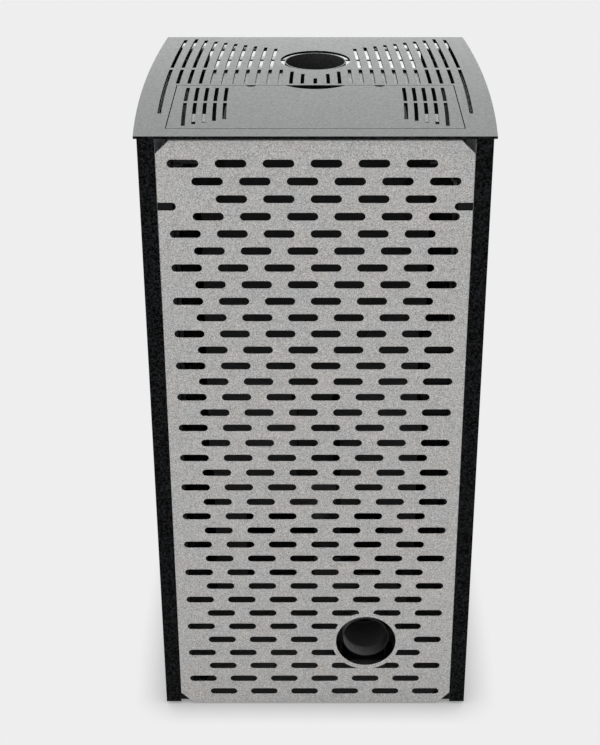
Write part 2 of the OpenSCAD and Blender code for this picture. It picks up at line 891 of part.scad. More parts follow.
duct_w = 46.5;
duct_depth = 46;
duct_h = 40;
duct_x = [inlet_x + scroll_r + scroll_grow - duct_w, inlet_x + scroll_r + scroll_grow];
duct_v = [fan_span[0] + 7, fan_span[0] + 7 + duct_depth];
duct_z = [firebox_z + 6, firebox_z + 6 + duct_h];
igniter_x = 25;
igniter_z = firebox_z + 50;
igniter_r = 8;
open_gap = 1;
ash_hole_x = [78, firebox_half - throat_in];
ash_hole_v = [firebox_v + 25, front_plate_v - 27];

module rear_openings() {
    v = [firebox_v - 2, firebox_v + firebox_wall + lining_t + 2];
    chute_box(open_gap);
    slab([duct_x[0] - open_gap, duct_x[1] + open_gap], v, [duct_z[0] - open_gap, duct_z[1] + open_gap]);
    along_y(igniter_x, igniter_z, v[0], v[1], igniter_r + cover_gap);
}

module firebox_shell() {
    w = firebox_wall;
    color(raw_steel)
    difference() {
        slab([-firebox_half, firebox_half], [firebox_v, front_plate_v], [firebox_z, firebox_top]);
        slab([-firebox_half + w, firebox_half - w], [firebox_v + w, front_plate_v + 1],
            [floor_z, firebox_top - w]);
        rear_openings();
        twin(ash_hole_x, ash_hole_v, [firebox_z - 1, floor_z + 1]);
        translate([0, fwd(flue_v), firebox_top - 10]) cylinder(h = 20, r = flue_r - flue_wall, $fn = 96);
    }
}

// Front plate of the fire box, welded to the front uprights
module firebox_front() {
    color(raw_steel)
    difference() {
        slab([-front_upright_x[1], front_upright_x[1]], [front_plate_v, front_plate_face],
            [front_plate_z, firebox_front_top]);
        slab([-throat_half, throat_half], [front_plate_v - 1, front_plate_face + 1], throat_z);
    }
}

// Stand with the two runners that the ash drawer slides on
stand_wall = 3;
stand_x = [drawer_half, drawer_half + stand_wall];
stand_v = [firebox_v + 10, front_plate_v - 7];
stand_hole_z = [60, 200];
stand_hole_in = 40;
stand_hole_half = 130;
runner_w = 20;
runner_in = drawer_half - runner_w;
module firebox_stand() {
    back_v = [stand_v[0] + 2, stand_v[0] + 2 + stand_wall];
    color(raw_steel)
    difference() {
        union() {
            twin([runner_in, stand_x[0]], [back_v[1] + 5, stand_v[1]], [drawer_z - stand_wall, drawer_z]);
            twin(stand_x, stand_v, [tray_top, firebox_z]);
            slab([-stand_x[0], stand_x[0]], back_v, [tray_top, firebox_z]);
        }
        twin([stand_x[0] - 1, stand_x[1] + 1],
            [stand_v[0] + stand_hole_in, stand_v[1] - stand_hole_in], stand_hole_z);
        slab([-stand_hole_half, stand_hole_half], [back_v[0] - 1, back_v[1] + 1], stand_hole_z);
    }
}

// Ribbed rear plate of the lining
rib_pitch = 24;
rib_w = 12;
rib_d = 4;
rib_rise = 215;
rib_drop = 110;
rib_z = [floor_z + rib_rise, firebox_top - rib_drop];
lining_drop = 80;
lining_z = [floor_z, firebox_top - lining_drop];
module fireback_lining() {
    v = firebox_v + firebox_wall;
    half = firebox_half - firebox_wall - lining_t - open_gap;
    color(lining)
    difference() {
        slab([-half, half], [v, v + lining_t], lining_z);
        rear_openings();
        for (i = [-6:6])
            slab([rib_pitch * i - rib_w / 2, rib_pitch * i + rib_w / 2],
                [v + lining_t - rib_d, v + lining_t + 1], rib_z);
    }
}

module side_linings() {
    color(lining)
    twin([firebox_half - firebox_wall - lining_t, firebox_half - firebox_wall],
        [firebox_v + firebox_wall, front_plate_v - 4], lining_z);
}

// Rests on the linings and leaves a gap at the front for the smoke
baffle_t = 10;
smoke_gap = 50;
module baffle_plate() {
    half = firebox_half - firebox_wall - open_gap;
    color(lining)
    slab([-half, half], [firebox_v + firebox_wall, front_plate_v - smoke_gap],
        [lining_z[1], lining_z[1] + baffle_t]);
}

collar_flange = [12, 3];

module flue_collar() {
    color(raw_steel)
    translate([0, fwd(flue_v), firebox_top])
        difference() {
            union() {
                cylinder(h = top_z - flue_drop - firebox_top, r = flue_r, $fn = 96);
                cylinder(h = collar_flange[1], r = flue_r + collar_flange[0], $fn = 96);
            }
            translate([0, 0, -1]) cylinder(h = top_z, r = flue_r - flue_wall, $fn = 96);
        }
}

seat_h = 60;
seat_half = 62;
seat_wall = 3;
seat_d = 118;
seat_v = [pot_v - seat_d / 2, pot_v + seat_d / 2];
seat_gap = 1.5;
seat_top = floor_z + seat_h;
pot_half = pot_w / 2;

// Box on the floor that feeds air to the pot, with a square opening for it
module burn_pot_seat() {
    color(raw_steel)
    difference() {
        slab([-seat_half, seat_half], seat_v, [floor_z, seat_top]);
        slab([-seat_half + seat_wall, seat_half - seat_wall], [seat_v[0] + seat_wall, seat_v[1] - seat_wall],
            [floor_z - 1, seat_top - seat_wall]);
        slab([-pot_half - seat_gap, pot_half + seat_gap],
            [pot_v - pot_half - seat_gap, pot_v + pot_half + seat_gap],
            [seat_top - seat_wall - 1, seat_top + 1]);
        slab(duct_x, [seat_v[0] - 1, seat_v[0] + seat_wall + 1], duct_z);
        along_y(igniter_x, igniter_z, seat_v[0] - 1, seat_v[0] + seat_wall + 1, igniter_r + cover_gap);
    }
}

pot_wall = 4;
pot_rim = 6;
pot_rim_t = 4;
pot_lip = 22;
pot_holes = 5;
pot_hole_pitch = 15;
pot_hole_r = 2.5;

// Perforated pot that drops into its seat and hangs on its rim
module burn_pot() {
    z0 = seat_top - pot_h;
    z1 = seat_top + fit_gap;
    inner = pot_half - pot_wall;
    mid = (pot_holes - 1) / 2;
    color([0.3, 0.3, 0.3])
    difference() {
        union() {
            slab([-pot_half, pot_half], [pot_v - pot_half, pot_v + pot_half], [z0, z1 + pot_lip]);
            slab([-pot_half - pot_rim, pot_half + pot_rim],
                [pot_v - pot_half - pot_rim, pot_v + pot_half + pot_rim],
                [z1, z1 + pot_rim_t]);
        }
        slab([-inner, inner], [pot_v - inner, pot_v + inner], [z0 + pot_wall, z1 + pot_lip + 1]);
        for (i = [0:pot_holes - 1])
            for (j = [0:pot_holes - 1])
                translate([(i - mid) * pot_hole_pitch, fwd(pot_v) + (j - mid) * pot_hole_pitch, z0 - 1])
                    cylinder(h = pot_wall + 2, r = pot_hole_r, $fn = 16);
        along_y(igniter_x, igniter_z, pot_v - pot_half - 1, pot_v - inner + 1, igniter_r);
    }
}

// Glow rod in its tube, pushed in through the rear wall
igniter_tail = 26;
igniter_flange = [5, 4];
rod_r = 5;
module igniter() {
    tube_end = seat_v[0] + seat_wall + 2;
    color("whitesmoke")
    union() {
        along_y(igniter_x, igniter_z, firebox_v - igniter_tail, tube_end, igniter_r);
        along_y(igniter_x, igniter_z, tube_end, pot_v - pot_half - 1, rod_r);
        along_y(igniter_x, igniter_z, firebox_v - igniter_flange[1], firebox_v, igniter_r + igniter_flange[0]);
    }
}

// Fire door

door_half = front_open_half - door_side;
pivot_x = door_half - pivot_in;
latch_x = door_half - latch_in;
window_half = [door_half - window_side, door_h / 2 - window_edge];
door_mid = door_z + door_h / 2;
pivot_v = front_v - 12;
pivot_r = pivot_d / 2;
boss_r = 8;
boss_h = 36;
rim_side = 55;
rim_half = [door_half - rim_side, door_h / 2 - 4];
rim_w = 14;
groove_half = [rim_half[0] - 3, rim_half[1] - 3];
bush_depth = 6;
spindle_r = 6;
latch_boss = [11, 13];
glass_gasket_w = 11;
rim_v = [front_plate_face + 3, front_v - door_t];
gasket_w = 8;
gasket_in = 4;
glass_half = [window_half[0] + 15, window_half[1] + 16];
gasket_flat = 1.5;
glass_v = [rim_v[1] - gasket_flat - glass_t, rim_v[1] - gasket_flat];

// A rectangular frame between an outer and an inner half size
module ring(outer, inner, v) {
    difference() {
        slab([-outer[0], outer[0]], v, [door_mid - outer[1], door_mid + outer[1]]);
        slab([-inner[0], inner[0]], [v[0] - 1, v[1] + 1], [door_mid - inner[1], door_mid + inner[1]]);
    }
}

module pivot_at(z0, z1, r) {
    translate([-pivot_x, fwd(pivot_v), z0]) cylinder(h = z1 - z0, r = r);
}

module door_frame() {
    color(paint)
    difference() {
        union() {
            ring([door_half, door_h / 2], window_half, [front_v - door_t, front_v]);
            ring(rim_half, [rim_half[0] - rim_w, rim_half[1] - rim_w], rim_v);
            pivot_at(door_z, door_z + boss_h, boss_r);
            pivot_at(door_top - boss_h, door_top, boss_r);
            along_y(latch_x, door_mid, rim_v[1] - latch_boss[1], rim_v[1], latch_boss[0]);
        }
        ring(groove_half, [groove_half[0] - gasket_w, groove_half[1] - gasket_w],
            [rim_v[0] - 1, rim_v[0] + gasket_in]);
        pivot_at(door_z - 1, door_z + boss_h - bush_depth, pivot_r + run_gap);
        pivot_at(door_top - boss_h + bush_depth, door_top + 1, pivot_r + run_gap);
        along_y(latch_x, door_mid, rim_v[0] - 1, front_v + 1, spindle_r + run_gap);
    }
}

module door_glass() {
    color([0.3, 0.25, 0.2, 0.5])
    slab([-glass_half[0], glass_half[0]], glass_v, [door_mid - glass_half[1], door_mid + glass_half[1]]);
}

module glass_gasket() {
    color("dimgray")
    ring(glass_half, [glass_half[0] - glass_gasket_w, glass_half[1] - glass_gasket_w], [glass_v[1], rim_v[1]]);
}

// Six clips that reach from the rim over the glass
clip_l = 24;
clip_w = 16;
clip_t = 3;
clip_rows = [-0.7, 0, 0.7];
module glass_clips() {
    inner = rim_half[0] - rim_w;
    color("silver")
    for (row = clip_rows) {
        z = door_mid + row * window_half[1];
        twin([inner - clip_w, inner], [glass_v[0] - clip_t, glass_v[0]], [z - clip_l / 2, z + clip_l / 2]);
    }
}

module door_gasket() {
    inner = [groove_half[0] - gasket_w, groove_half[1] - gasket_w];
    color([0.75, 0.74, 0.7])
    ring(groove_half, inner, [front_plate_face + fit_gap, rim_v[0] + gasket_in]);
}

pivot_plate_t = 6;
pivot_plate_r = 11;
pivot_eye_r = 9;
pin_end = 8;
washer_r = 7;
low_pivot = [door_z - door_gap - pivot_plate_t, door_z - door_gap];
high_pivot = [door_top + door_gap, door_top + door_gap + pivot_plate_t];

// Tabs on the front plate that carry the hinge pins
module door_pivot_plates() {
    color(raw_steel)
    for (z = [low_pivot, high_pivot])
        difference() {
            union() {
                slab([-pivot_x - pivot_plate_r, -pivot_x + pivot_plate_r], [front_plate_face, pivot_v], z);
                translate([-pivot_x, fwd(pivot_v), z[0]]) cylinder(h = pivot_plate_t, r = pivot_eye_r);
            }
            pivot_at(z[0] - 1, z[1] + 1, pivot_r);
        }
}

// The lower pin has a washer that the door stands on
module door_pivot_pins() {
    color("silver") {
        pivot_at(low_pivot[0], door_z + boss_h - pin_end, pivot_r);
        pivot_at(low_pivot[1], door_z - fit_gap, washer_r);
        pivot_at(door_top - boss_h + pin_end, high_pivot[1], pivot_r);
    }
}

// Turns a piece drawn in the locked pose to the released one
module released() {
    translate([latch_x, 0, door_mid]) rotate([0, latch_turn, 0]) translate([-latch_x, 0, -door_mid]) children();
}

spindle_start = 0.8;
rosette_r = 12;
grip_r = 9;
grip_v = front_v + handle_out - grip_r;
module door_handle() {
    color("silver")
    released() {
        along_y(latch_x, door_mid, front_plate_face + spindle_start, grip_v, spindle_r);
        along_y(latch_x, door_mid, front_v + fit_gap, grip_v, rosette_r);
        translate([latch_x, fwd(grip_v), door_mid - grip_l]) cylinder(h = grip_l, r = grip_r);
        translate([latch_x, fwd(grip_v), door_mid - grip_l]) sphere(r = grip_r);
        translate([latch_x, fwd(grip_v), door_mid]) sphere(r = grip_r);
    }
}

tongue_in = 2.5;
tongue_t = 6;
tongue_v = [front_plate_face + tongue_in, front_plate_face + tongue_in + tongue_t];
tongue_l = 20;
tongue_hub_r = 11;
tongue_half = 6;
module latch_tongue() {
    color("silver")
    released()
        difference() {
            union() {
                along_y(latch_x, door_mid, tongue_v[0], tongue_v[1], tongue_hub_r);
                slab([latch_x, latch_x + tongue_l], tongue_v, [door_mid - tongue_half, door_mid + tongue_half]);
            }
            along_y(latch_x, door_mid, tongue_v[0] - 1, tongue_v[1] + 1, spindle_r);
        }
}

// Hook on the front plate: its lip holds the tongue, its stem stops it
keeper_in = 13;
keeper_w = 9;
keeper_x = [latch_x + keeper_in, latch_x + keeper_in + keeper_w];
keeper_play = 1;
keeper_t = 4;
keeper_v = [tongue_v[1] + keeper_play, tongue_v[1] + keeper_play + keeper_t];
keeper_lip = 8;
keeper_rise = 20;
keeper_stop = 9;
keeper_z = [door_mid - keeper_lip, door_mid + keeper_stop, door_mid + keeper_rise];
module latch_keeper() {
    color(raw_steel) {
        slab(keeper_x, [front_plate_face, keeper_v[1]], [keeper_z[1], keeper_z[2]]);
        slab(keeper_x, keeper_v, [keeper_z[0], keeper_z[2]]);
    }
}

// Ash drawer

drawer_body = drawer_half - 8;
drawer_front_t = 5;
drawer_sheet = 2;
drawer_low = 3;
drawer_v = [firebox_v + 30, front_v - drawer_front_t];
module ash_drawer() {
    w = drawer_sheet;
    z0 = drawer_z + fit_gap;
    color(raw_steel)
    difference() {
        union() {
            slab([-drawer_body, drawer_body], drawer_v, [z0, drawer_top - drawer_low]);
            slab([-drawer_half, drawer_half], [drawer_v[1], front_v], [drawer_z, drawer_top]);
        }
        slab([-drawer_body + w, drawer_body - w], [drawer_v[0] + w, drawer_v[1] - w],
            [z0 + w, drawer_top + 1]);
    }
}

// Bar pull on two posts
pull_half = 60;
pull_drop = 22;
pull_out = 20;
pull_r = 5;
post_r = 4;
post_in = 8;
module drawer_pull() {
    z = drawer_top - pull_drop;
    color("silver") {
        for (sx = [-1, 1])
            along_y(sx * (pull_half - post_in), z, front_v, front_v + pull_out, post_r);
        translate([-pull_half, fwd(front_v + pull_out), z]) rotate([0, 90, 0])
            cylinder(h = 2 * pull_half, r = pull_r);
    }
}

// Closed housing of the control board, on the inner face of a rear upright
box_size = [44, 100, 160];
box_z = 560;
box_vent = [8, 6, 14, 3];
box_vents = 9;
box_vent_edge = 20;
box_play = 10;
module control_box() {
    x = [-rear_upright_x[0], box_size[0] - rear_upright_x[0]];
    v = [rear_upright_v[0] + box_play, rear_upright_v[0] + box_play + box_size[1]];
    color([0.1, 0.1, 0.11])
    difference() {
        slab(x, v, [box_z, box_z + box_size[2]]);
        for (i = [0:box_vents - 1]) {
            z = box_z + box_vent_edge + box_vent[2] * i;
            slab([x[0] + box_vent[0], x[1] - box_vent[0]], [v[1] - box_vent[3], v[1] + 1],
                [z, z + box_vent[1]]);
        }
    }
}

// Pellet feed

hopper_half = hopper_w / 2;
hopper_top = plate_z - 5;
hopper_box_h = 250;
hopper_rise = 155;
taper_top = top_z - hopper_box_h;
taper_low = auger_z + hopper_rise;
throat_v = [23, 87];
throat = [26, auger_v + throat_v[0], auger_v + throat_v[1]];
throat_rise = 15;
throat_low = auger_z + throat_rise;
wing_from = [66, 106];
wing_v = [hopper_v + wing_from[0], hopper_v + wing_from[1]];
wing_t = 2.5;
wing_in = 2;
seal_over = 1.5;
seal_in = 1;

// The hopper's space: a straight mouth, a taper and a throat down to the auger tube
module hopper_space(grow, low, high) {
    x = hopper_half + grow;
    t = throat[0] + grow;
    v = [hopper_span[0] - grow, hopper_span[1] + grow];
    tv = [throat[1] - grow, throat[2] + grow];
    slab([-x, x], v, [taper_top, high]);
    hull() {
        slab([-x, x], v, [taper_top, taper_top + 1]);
        slab([-t, t], tv, [taper_low - 1, taper_low]);
    }
    slab([-t, t], tv, [low, taper_low]);
}

module pellet_hopper() {
    color(raw_steel) {
        difference() {
            hopper_space(hopper_wall, throat_low, hopper_top);
            hopper_space(0, throat_low - 5, hopper_top + 1);
            on_auger() {
                cylinder(h = auger_l, r = auger_r);
                translate([-auger_r, -2 * auger_r, 0]) cube([2 * auger_r, 2 * auger_r, auger_l]);
            }
        }
        twin([hopper_half + hopper_wall, rail_x[1] - wing_in], wing_v, [rail_top, rail_top + wing_t]);
    }
}

module hopper_seal() {
    over = hopper_wall + seal_over;
    v = hopper_span;
    color([0.1, 0.1, 0.1])
    difference() {
        slab([-hopper_half - over, hopper_half + over], [v[0] - over, v[1] + over],
            [hopper_top, plate_z]);
        slab([-hopper_half + seal_in, hopper_half - seal_in], [v[0] + seal_in, v[1] - seal_in],
            [hopper_top - 1, plate_z + 1]);
    }
}

grid_z = top_z - 150;
rod_pitch = 24;
rod_first = hopper_v + 16;
grid_rod_r = 2.5;
grid_bars = [-90, 0, 90];
bar_w = 4;
bar_h = 5;
module hopper_grid() {
    color("silver") {
        for (v = [rod_first:rod_pitch:hopper_span[1] - 8])
            translate([-hopper_half, fwd(v), grid_z]) rotate([0, 90, 0])
                cylinder(h = 2 * hopper_half, r = grid_rod_r);
        for (x = grid_bars)
            slab([x - bar_w / 2, x + bar_w / 2], hopper_span, [grid_z - bar_h, grid_z]);
    }
}

tube_wall = 2;
tube_end = 4;
flange_half = 36;
flange_t = 5;
bush_r = 5;
shaft_r = 8;
shaft_tail = 30;
shaft_short = 8;
shaft_over = 3;
chute_lip = 6;
module auger_tube() {
    color(raw_steel)
    difference() {
        on_auger() {
            difference() {
                union() {
                    cylinder(h = auger_l, r = auger_r);
                    translate([-flange_half, -flange_half, -flange_t])
                        cube([2 * flange_half, 2 * flange_half, flange_t]);
                }
                cylinder(h = auger_l - tube_end, r = auger_r - tube_wall);
                translate([0, 0, -flange_t - 1]) cylinder(h = flange_t + 2, r = shaft_r + run_gap);
                cylinder(h = auger_l + 1, r = bush_r + run_gap);
                translate([-chute_w / 2 + chute_wall, -auger_r - 1, chute_s - chute_w / 2 + chute_wall])
                    cube([chute_w - 2 * chute_wall, auger_r, chute_w - 2 * chute_wall - chute_lip]);
            }
        }
        slab([-throat[0], throat[0]], [throat[1], throat[2]], [auger_z + 30, taper_low]);
    }
}

module auger_shaft() {
    color("silver")
    on_auger() {
        translate([0, 0, -shaft_tail]) cylinder(h = shaft_tail + auger_l - shaft_short, r = shaft_r);
        cylinder(h = auger_l + shaft_over, r = bush_r);
    }
}

flight_r = auger_r - tube_wall - 2;
flight_l = auger_l - 22;
flight_start = 6;
flight_arc = 36;
flight_facets = 10;
module auger_flight() {
    turns = flight_l / auger_pitch;
    arc = [for (a = [0:flight_arc / 4:flight_arc]) [cos(a), sin(a)]];
    back = [for (a = [flight_arc:-flight_arc / 4:0]) [cos(a), sin(a)]];
    color("silver")
    on_auger() translate([0, 0, flight_start])
        linear_extrude(height = flight_l, twist = -360 * turns, slices = 24 * ceil(turns), $fn = flight_facets)
            polygon(concat(arc * flight_r, back * (shaft_r - 0.2)));
}

gearbox = [70, 60, 35];
gearmotor_r = 23;
gearmotor_l = 37;
module auger_motor() {
    color("dimgray")
    on_auger()
        difference() {
            union() {
                translate([-gearbox[0] / 2, -gearbox[1] / 2, -gearbox[2]])
                    cube([gearbox[0], gearbox[1], gearbox[2] - flange_t]);
                translate([0, 0, -gearbox[2] - gearmotor_l]) cylinder(h = gearmotor_l + 1, r = gearmotor_r);
            }
            translate([0, 0, -shaft_tail - 1]) cylinder(h = shaft_tail + 1, r = shaft_r + run_gap);
        }
}

module pellet_chute() {
    color(raw_steel)
    difference() {
        union() {
            chute_box(0);
            slab([-chute_w / 2 - chute_flange, chute_w / 2 + chute_flange], [firebox_v - 3, firebox_v],
                [auger_z + 38, auger_z + 150]);
        }
        on_auger() {
            translate([-chute_w / 2 + chute_wall, -chute_end - 1, chute_s - chute_w / 2 + chute_wall])
                cube([chute_w - 2 * chute_wall, chute_end + 2, chute_w - 2 * chute_wall]);
            translate([0, 0, -10]) cylinder(h = auger_l + 20, r = auger_r);
        }
    }
}

// Air supply

scroll_c = [inlet_x, inlet_z];
outlet_top = inlet_z + scroll_r + scroll_grow + 14;
scroll_from = 45;
scroll_steps = 42;
full_turn = 360;

// Spiral outline that widens up to the outlet on its right, with the outlet's square neck
module scroll(inset) {
    span = full_turn - scroll_from;
    spiral = [for (i = [0:scroll_steps])
        let (a = scroll_from + span * i / scroll_steps, r = scroll_r - inset + scroll_grow * i / scroll_steps)
            [r * cos(a), r * sin(a)]];
    translate(scroll_c) polygon(concat([[0, 0]], spiral));
    translate([duct_x[0] + inset, inlet_z])
        square([duct_x[1] - duct_x[0] - 2 * inset, outlet_top - inlet_z]);
    translate(scroll_c) circle(r = scroll_r - inset);
}

impeller_v = [fan_span[0] + 12, fan_span[1] - 8];
motor_r = 38;
motor_l = 54;
motor_flange = [8, 4];
fan_shaft_r = 4;
fan_shaft_l = 30;
fan_eye = 6;
fan_shaft_hole = 2;
hub_r = 10;
hub_l = 14;
back_t = 2;
blade_l = 14;
blade_t = 1.2;
blade_lean = 25;
module fan_housing() {
    w = duct_wall;
    color([0.5, 0.5, 0.52])
    difference() {
        union() {
            upright_sheet(fan_span[0], fan_span[1]) scroll(0);
            fan_legs();
        }
        upright_sheet(fan_span[0] + w, fan_span[1] - w) scroll(w);
        slab([duct_x[0] + w, duct_x[1] - w], duct_v + [w, -w], [outlet_top - 20, outlet_top + 1]);
        along_y(inlet_x, inlet_z, fan_span[0] - 1, fan_span[0] + w + 1, inlet_d / 2 - fan_eye);
        along_y(inlet_x, inlet_z, fan_span[1] - w - 1, fan_span[1] + 1, fan_shaft_r + fan_shaft_hole);
    }
}

// Two legs and a plate that carry the fan on the tray
leg_x = 40;
leg_t = 3;
leg_plate_half = 55;
leg_in = 5;
module fan_legs() {
    v = [fan_span[0] + leg_in, fan_span[1] - leg_in];
    slab([inlet_x - leg_plate_half, inlet_x + leg_plate_half], v, [tray_top, tray_top + leg_t]);
    for (sx = [-1, 1])
        slab([inlet_x + sx * leg_x - leg_t / 2, inlet_x + sx * leg_x + leg_t / 2], v,
            [tray_top, inlet_z - scroll_r + 16]);
}

// Back plate, hub and a ring of blades on a shaft
module fan_impeller() {
    color("silver") {
        along_y(inlet_x, inlet_z, impeller_v[1] - back_t, impeller_v[1], impeller_r);
        along_y(inlet_x, inlet_z, impeller_v[1] - hub_l, fan_span[1] + fan_shaft_l, fan_shaft_r);
        along_y(inlet_x, inlet_z, impeller_v[1] - hub_l, impeller_v[1], hub_r);
        for (i = [0:impeller_blades - 1])
            translate([inlet_x, fwd(impeller_v[1] - back_t), inlet_z]) rotate([0, 360 * i / impeller_blades, 0])
                translate([impeller_r - blade_l - 1, 0, 0]) rotate([0, blade_lean, 0])
                    cube([blade_l, impeller_v[1] - impeller_v[0] - back_t, blade_t]);
    }
}

module fan_motor() {
    color("dimgray")
    difference() {
        union() {
            along_y(inlet_x, inlet_z, fan_span[1], fan_span[1] + motor_flange[1], motor_r + motor_flange[0]);
            along_y(inlet_x, inlet_z, fan_span[1], fan_span[1] + motor_flange[1] + motor_l, motor_r);
        }
        along_y(inlet_x, inlet_z, fan_span[1] - 1, fan_span[1] + fan_shaft_l + 2, fan_shaft_r + run_gap);
    }
}

inlet_wall = 1.5;
module air_inlet_tube() {
    r = inlet_d / 2;
    color(raw_steel)
    difference() {
        along_y(inlet_x, inlet_z, inlet_in, fan_span[0], r);
        along_y(inlet_x, inlet_z, inlet_in - 1, fan_span[0] + 1, r - inlet_wall);
    }
}

// Rises from the fan and turns forward into the pot seat
module air_duct() {
    w = duct_wall;
    in_x = [duct_x[0] + w, duct_x[1] - w];
    color(raw_steel)
    difference() {
        union() {
            slab(duct_x, duct_v, [outlet_top, duct_z[1]]);
            slab(duct_x, [duct_v[0], seat_v[0]], duct_z);
        }
        slab(in_x, duct_v + [w, -w], [outlet_top - 1, duct_z[1] - w]);
        slab(in_x, [duct_v[0] + w, seat_v[0] + 1], duct_z + [w, -w]);
    }
}

base_tray();
levelling_feet();
rear_uprights();
front_uprights();
side_rails();
left_side_panel();
right_side_panel();
rear_panel();
top_plate();
lid_ledge();
hopper_lid();
lid_hinge_straps();
lid_hinge_brackets();
lid_hinge_pins();
upper_fascia();
outlet_slats();
heat_shield();
lower_front_panel();
control_panel();
display_window();
power_button();
menu_button();
plus_button();
minus_button();
firebox_shell();
firebox_front();
firebox_stand();
fireback_lining();
side_linings();
baffle_plate();
flue_collar();
burn_pot();
burn_pot_seat();
igniter();
door_frame();
door_glass();
glass_gasket();
glass_clips();
door_gasket();
door_pivot_plates();
door_pivot_pins();
door_handle();
latch_tongue();
latch_keeper();
ash_drawer();
drawer_pull();
control_box();
pellet_hopper();
hopper_seal();
hopper_grid();
auger_tube();
auger_shaft();
auger_flight();
auger_motor();
pellet_chute();
air_inlet_tube();
fan_housing();
fan_impeller();
fan_motor();
air_duct();
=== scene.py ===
import math

import bmesh
import bpy
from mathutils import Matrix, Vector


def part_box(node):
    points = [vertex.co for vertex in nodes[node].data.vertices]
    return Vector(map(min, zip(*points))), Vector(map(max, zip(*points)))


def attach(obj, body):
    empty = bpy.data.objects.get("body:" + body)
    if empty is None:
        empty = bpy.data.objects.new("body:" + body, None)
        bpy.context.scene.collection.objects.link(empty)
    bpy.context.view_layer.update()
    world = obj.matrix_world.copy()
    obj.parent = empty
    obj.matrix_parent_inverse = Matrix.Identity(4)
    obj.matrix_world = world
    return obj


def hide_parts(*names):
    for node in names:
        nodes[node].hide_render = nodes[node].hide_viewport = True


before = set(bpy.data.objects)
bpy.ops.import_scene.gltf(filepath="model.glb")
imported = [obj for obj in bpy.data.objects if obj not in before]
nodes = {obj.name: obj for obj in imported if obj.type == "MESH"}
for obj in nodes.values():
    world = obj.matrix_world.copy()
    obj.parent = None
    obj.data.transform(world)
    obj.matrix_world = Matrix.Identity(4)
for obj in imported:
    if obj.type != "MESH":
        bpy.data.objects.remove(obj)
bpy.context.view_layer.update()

PLATE_TOP = 1.050
UPRIGHT = math.radians(90)


def shade(red, green, blue):
    """A colour as it shows on a screen, 0 to 255, made linear."""
    def linear(c):
        c /= 255
        return c / 12.92 if c <= 0.04045 else ((c + 0.055) / 1.055) ** 2.4
    return (linear(red), linear(green), linear(blue), 1.0)


# Finishes

class Signal:
    """A value in a finish's nodes. Arithmetic on it adds the Math nodes."""

    def __init__(self, tree, socket):
        self.tree = tree
        self.socket = socket

    def calc(self, operation, first, second=None, clamp=False):
        node = self.tree.nodes.new("ShaderNodeMath")
        node.operation = operation
        node.use_clamp = clamp
        feed(node.inputs[0], first)
        if second is not None:
            feed(node.inputs[1], second)
        return Signal(self.tree, node.outputs[0])

    def __add__(self, other):
        return self.calc("ADD", self, other)

    def __sub__(self, other):
        return self.calc("SUBTRACT", self, other)

    def __rsub__(self, other):
        return self.calc("SUBTRACT", other, self)

    def __mul__(self, other):
        return self.calc("MULTIPLY", self, other)

    def __truediv__(self, other):
        return self.calc("DIVIDE", self, other)

    __radd__ = __add__
    __rmul__ = __mul__

    def above(self, level, soft=0.02):
        """0 below the level and 1 above it, with a soft step."""
        return self.calc("MULTIPLY", self - (level - soft / 2), 1 / soft, clamp=True)

    def sine(self):
        return self.calc("SINE", self)

    def size(self):
        return self.calc("ABSOLUTE", self)


def feed(slot, value):
    """Links a signal to a socket, or sets its value."""
    if isinstance(value, Signal):
        value.tree.links.new(value.socket, slot)
    else:
        slot.default_value = value


class Finish:
    """A material made of nodes, with the piece's own coordinates and the way its faces point."""

    def __init__(self, name):
        self.material = bpy.data.materials.new(name)
        self.material.use_nodes = True
        self.tree = self.material.node_tree
        self.shader = self.tree.nodes["Principled BSDF"]
        self.place = self.add("ShaderNodeTexCoord", output="Object")
        self.facing = self.add("ShaderNodeTexCoord", output="Normal")

    def looks_up(self):
        """1 on faces that look up and 0 on the others, with a soft step."""
        return self.part(2, self.facing).above(0.6, 0.2)

    def add(self, kind, settings=None, sockets=None, output=0):
        node = self.tree.nodes.new(kind)
        for key, value in (settings or {}).items():
            setattr(node, key, value)
        for key, value in (sockets or {}).items():
            feed(node.inputs[key], value)
        return Signal(self.tree, node.outputs[output])

    def stretched(self, x, y, z):
        return self.add("ShaderNodeVectorMath", {"operation": "MULTIPLY"}, {0: self.place, 1: (x, y, z)})

    def part(self, axis, of=None):
        return self.add("ShaderNodeSeparateXYZ", None, {0: of or self.place}, "XYZ"[axis])

    def noise(self, scale, detail=2.0, roughness=0.5, of=None):
        return self.add("ShaderNodeTexNoise", None,
                        {"Vector": of or self.place, "Scale": scale, "Detail": detail, "Roughness": roughness})

    def cells(self, scale, of=None, output="Color"):
        return self.add("ShaderNodeTexVoronoi", None, {"Vector": of or self.place, "Scale": scale}, output)

    def mix(self, mask, low, high):
        node = self.tree.nodes.new("ShaderNodeMix")
        node.data_type = "RGBA"
        feed(node.inputs[0], mask)
        feed(node.inputs[6], low)
        feed(node.inputs[7], high)
        return Signal(self.tree, node.outputs[2])

    def lit(self, colour, amount):
        """The colour made lighter or darker by a signal around 1."""
        node = self.tree.nodes.new("ShaderNodeVectorMath")
        node.operation = "SCALE"
        feed(node.inputs[0], colour if isinstance(colour, Signal) else colour[:3])
        feed(node.inputs["Scale"], amount)
        return Signal(self.tree, node.outputs[0])

    def bump(self, height, strength, distance):
        return self.add("ShaderNodeBump", None,
                        {"Height": height, "Strength": strength, "Distance": distance}, "Normal")

    def coat(self, colour, roughness, metallic=0.0, normal=None, **others):
        feed(self.shader.inputs["Base Color"], colour)
        feed(self.shader.inputs["Roughness"], roughness)
        feed(self.shader.inputs["Metallic"], metallic)
        if normal is not None:
            feed(self.shader.inputs["Normal"], normal)
        for key, value in others.items():
            feed(self.shader.inputs[key.replace("_", " ")], value)
        return self.material


PAINT_GRIT = 3.4
PAINT_BEADS = 4
# Below about this height the inward colour is darkened: painted shade inside the cabinet.
PAINTED_SHADE_BELOW = PLATE_TOP - 0.25


